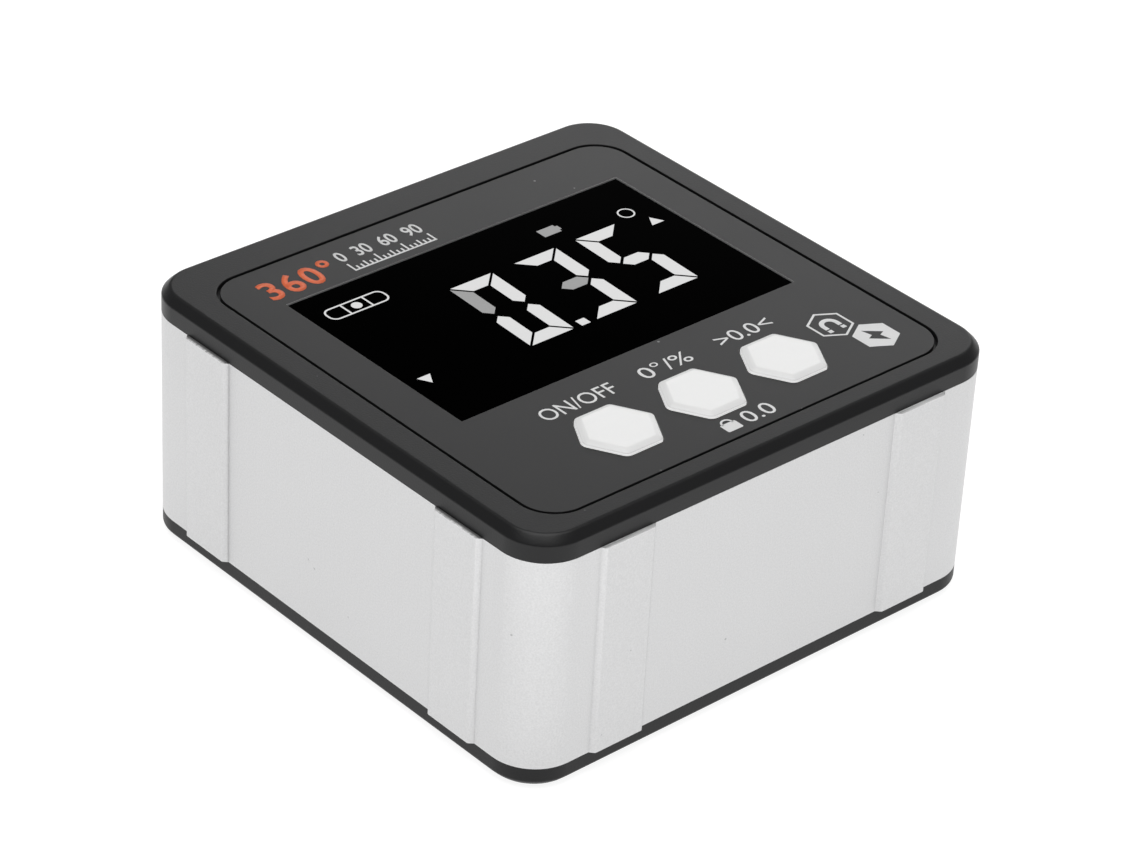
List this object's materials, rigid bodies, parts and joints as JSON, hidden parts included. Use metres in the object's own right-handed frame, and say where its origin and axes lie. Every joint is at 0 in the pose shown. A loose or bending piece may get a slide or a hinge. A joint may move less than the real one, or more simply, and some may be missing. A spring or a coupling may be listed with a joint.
{
  "type": "digital inclinometer",
  "caption": "Square digital inclinometer: railed aluminium housing with magnets, black bezel and rear cover, lit numeric display and hexagonal push keys.",
  "frame": {"origin": "middle of the rear cover's flat face, on which the gauge lies", "axes": "+Z out of the display, +X the way the display reads, +Y up on the display"},
  "size_m": [0.061, 0.061, 0.0287],
  "materials": {
    "anodised_aluminium": "fine satin, clear anodised, drawn lengthwise",
    "black_plastic": "fine moulded satin grain",
    "rear_plastic": "fine moulded satin grain",
    "overlay_film": "smooth satin printed film",
    "display_black": "clear gloss over a black display",
    "key_white": "smooth white",
    "seal_rubber": "matt",
    "plug_rubber": "matt",
    "contact_rubber": "matt",
    "foam_pad": "open cell foam",
    "lcd_glass": "polished glass",
    "light_panel": "clear light guide on a white reflector",
    "holder_plastic": "moulded",
    "board_green": "solder mask on glass fibre",
    "chip_black": "moulded epoxy",
    "switch_black": "moulded",
    "stem_plastic": "moulded",
    "connector_white": "moulded",
    "capacitor_tan": "fired ceramic",
    "socket_steel": "nickel-plated pressed shell",
    "can_steel": "pressed can",
    "screw_steel": "black-zinc plated",
    "magnet_nickel": "nickel-plated",
    "battery_foil": "heat-sealed foil"
  },
  "bodies": {
    "housing": {"body_extrusion": "anodised_aluminium", "front_bezel": "black_plastic", "rear_cover": "rear_plastic", "front_seal": "seal_rubber", "rear_seal": "seal_rubber", "overlay_panel": "overlay_film", "display_window": "display_black", "lcd_glass": "lcd_glass", "backlight_panel": "light_panel", "contact_strip_rubber": "contact_rubber", "lcd_holder": "holder_plastic", "circuit_board": "board_green", "charging_socket": "socket_steel", "battery_foam": "foam_pad", "battery": "battery_foil", "main_chip": "chip_black", "tilt_sensor": "chip_black", "charging_chip": "chip_black", "crystal": "can_steel", "battery_socket": "connector_white", "board_capacitors": "capacitor_tan", "front_screws": "screw_steel", "rear_screws": "screw_steel", "board_screws": "screw_steel", "switch_case_left": "switch_black", "switch_case_middle": "switch_black", "switch_case_right": "switch_black", "magnet_right_a": "magnet_nickel", "magnet_right_b": "magnet_nickel", "magnet_left_a": "magnet_nickel", "magnet_left_b": "magnet_nickel", "magnet_top_a": "magnet_nickel", "magnet_top_b": "magnet_nickel", "magnet_bottom_a": "magnet_nickel", "magnet_bottom_b": "magnet_nickel"},
    "key_left": {"key_left": "key_white", "switch_stem_left": "stem_plastic"},
    "key_middle": {"key_middle": "key_white", "switch_stem_middle": "stem_plastic"},
    "key_right": {"key_right": "key_white", "switch_stem_right": "stem_plastic"},
    "port_plug": {"port_plug": "plug_rubber"}
  },
  "joints": [
    {"name": "key_left_press", "type": "slide", "parent": "housing", "child": "key_left", "axis": [0, 0, -1], "range_m": [0, 0.0003], "stiffness_N_per_m": 5000, "springref_m": -0.0001},
    {"name": "key_middle_press", "type": "slide", "parent": "housing", "child": "key_middle", "axis": [0, 0, -1], "range_m": [0, 0.0003], "stiffness_N_per_m": 5000, "springref_m": -0.0001},
    {"name": "key_right_press", "type": "slide", "parent": "housing", "child": "key_right", "axis": [0, 0, -1], "range_m": [0, 0.0003], "stiffness_N_per_m": 5000, "springref_m": -0.0001},
    {"name": "port_plug_pull", "type": "slide", "parent": "housing", "child": "port_plug", "axis": [1, 0, 0], "range_m": [0, 0.01]}
  ]
}
